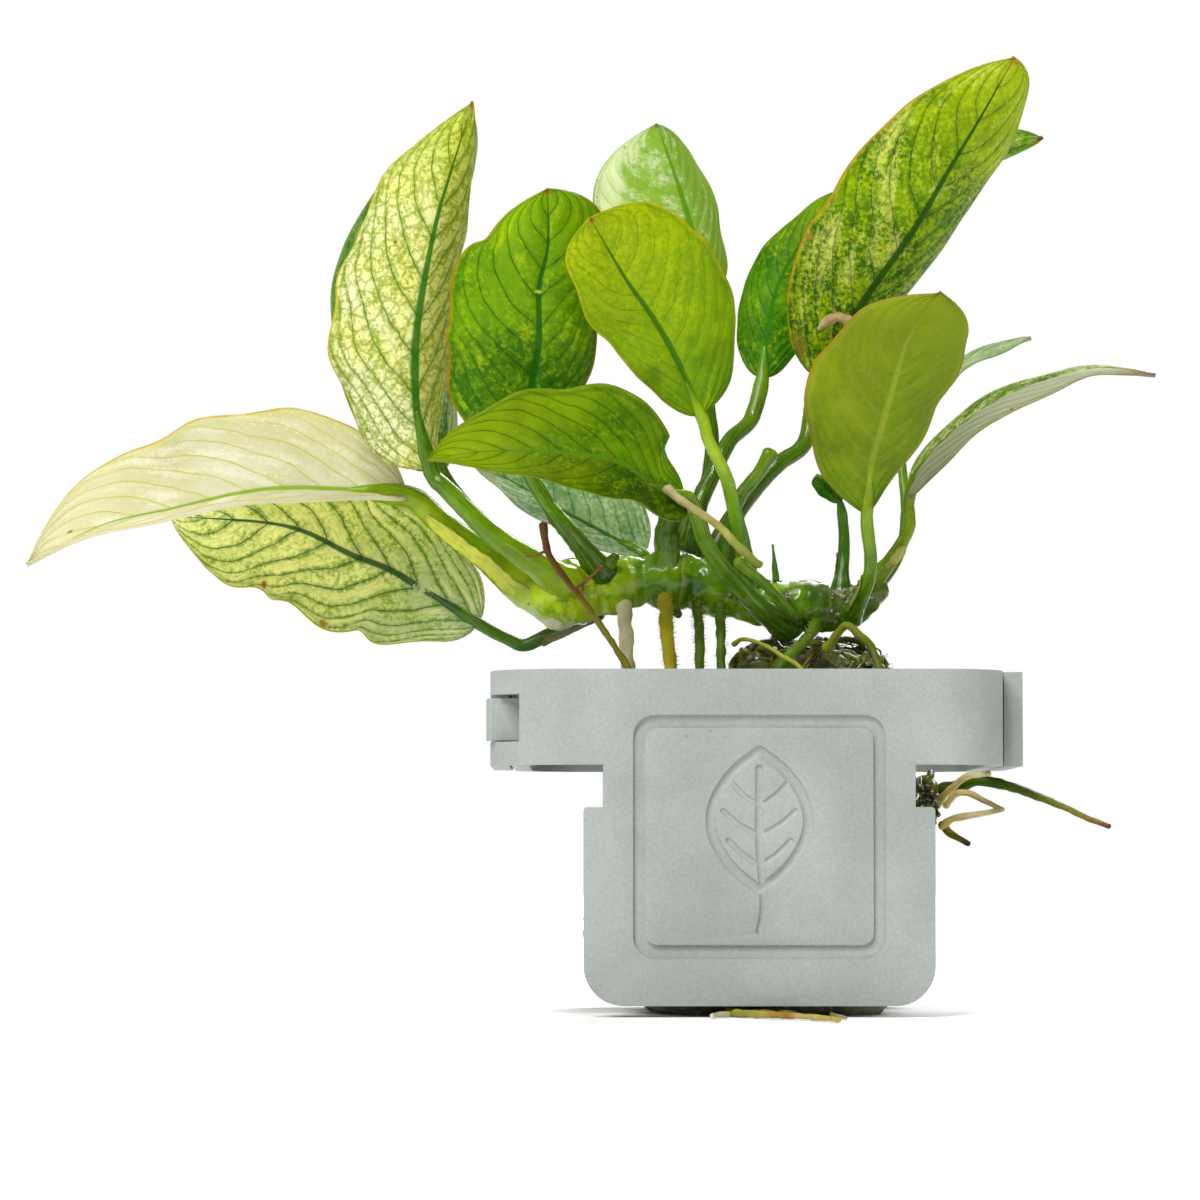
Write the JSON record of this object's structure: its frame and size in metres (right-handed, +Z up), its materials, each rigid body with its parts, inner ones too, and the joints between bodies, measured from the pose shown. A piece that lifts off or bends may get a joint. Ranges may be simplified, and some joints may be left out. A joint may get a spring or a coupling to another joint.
{
  "type": "anubias on stone",
  "caption": "Variegated anubias with a creeping rhizome and leathery leaves, its roots on a stone held between the plates of a two-part clip collar.",
  "frame": {"origin": "middle of the stone's flat underside, which is also the middle of the clip holder in plan", "axes": "+X along the front plate to the viewer's right, +Y from the front plate to the rear plate, +Z up"},
  "size_m": [0.1338, 0.0686, 0.1146],
  "materials": {
    "holder_plastic": "matte",
    "stone": "matte",
    "leaf_green": "satin",
    "leaf_cream": "satin",
    "stalk": "satin",
    "rhizome": "satin",
    "root": "satin",
    "root_clump": "satin"
  },
  "bodies": {
    "root": {"front_shell": "holder_plastic", "leaf_arching_right": "leaf_green", "leaf_back_top": "leaf_green", "leaf_behind_big_right": "leaf_green", "leaf_behind_top_left": "leaf_cream", "leaf_beside_big_right": "leaf_green", "leaf_big_right": "leaf_green", "leaf_cream_left": "leaf_cream", "leaf_dark_centre": "leaf_green", "leaf_front_centre": "leaf_green", "leaf_front_low": "leaf_green", "leaf_low_left": "leaf_cream", "leaf_olive_right": "leaf_green", "leaf_pale_back": "leaf_cream", "leaf_small_back_right": "leaf_green", "leaf_small_dark": "leaf_green", "leaf_top_left": "leaf_cream", "rear_shell": "holder_plastic", "rhizome": "rhizome", "root_brown": "root", "root_clump": "root_clump", "root_cream": "root", "root_floor_main": "root", "root_floor_olive_left": "root", "root_floor_olive_right": "root", "root_floor_taupe": "root", "root_floor_white": "root", "root_green": "root", "root_green_short": "root", "root_hooked": "root", "root_side_arc": "root", "root_side_claw": "root", "root_side_cream": "root", "root_side_green": "root", "root_side_long": "root", "root_side_low": "root", "root_thin_yellow": "root", "root_white": "root", "root_yellow": "root", "stalk_arched": "stalk", "stalk_arching_right": "stalk", "stalk_back_top": "stalk", "stalk_behind_big_right": "stalk", "stalk_behind_top_left": "stalk", "stalk_beside_big_right": "stalk", "stalk_big_right": "stalk", "stalk_cream_left": "stalk", "stalk_cut": "stalk", "stalk_dark_centre": "stalk", "stalk_front_centre": "stalk", "stalk_front_low": "stalk", "stalk_low_left": "stalk", "stalk_olive_right": "stalk", "stalk_pale_back": "stalk", "stalk_slim": "stalk", "stalk_small_back_right": "stalk", "stalk_small_dark": "stalk", "stalk_top_left": "stalk", "stone": "stone"}
  },
  "joints": []
}
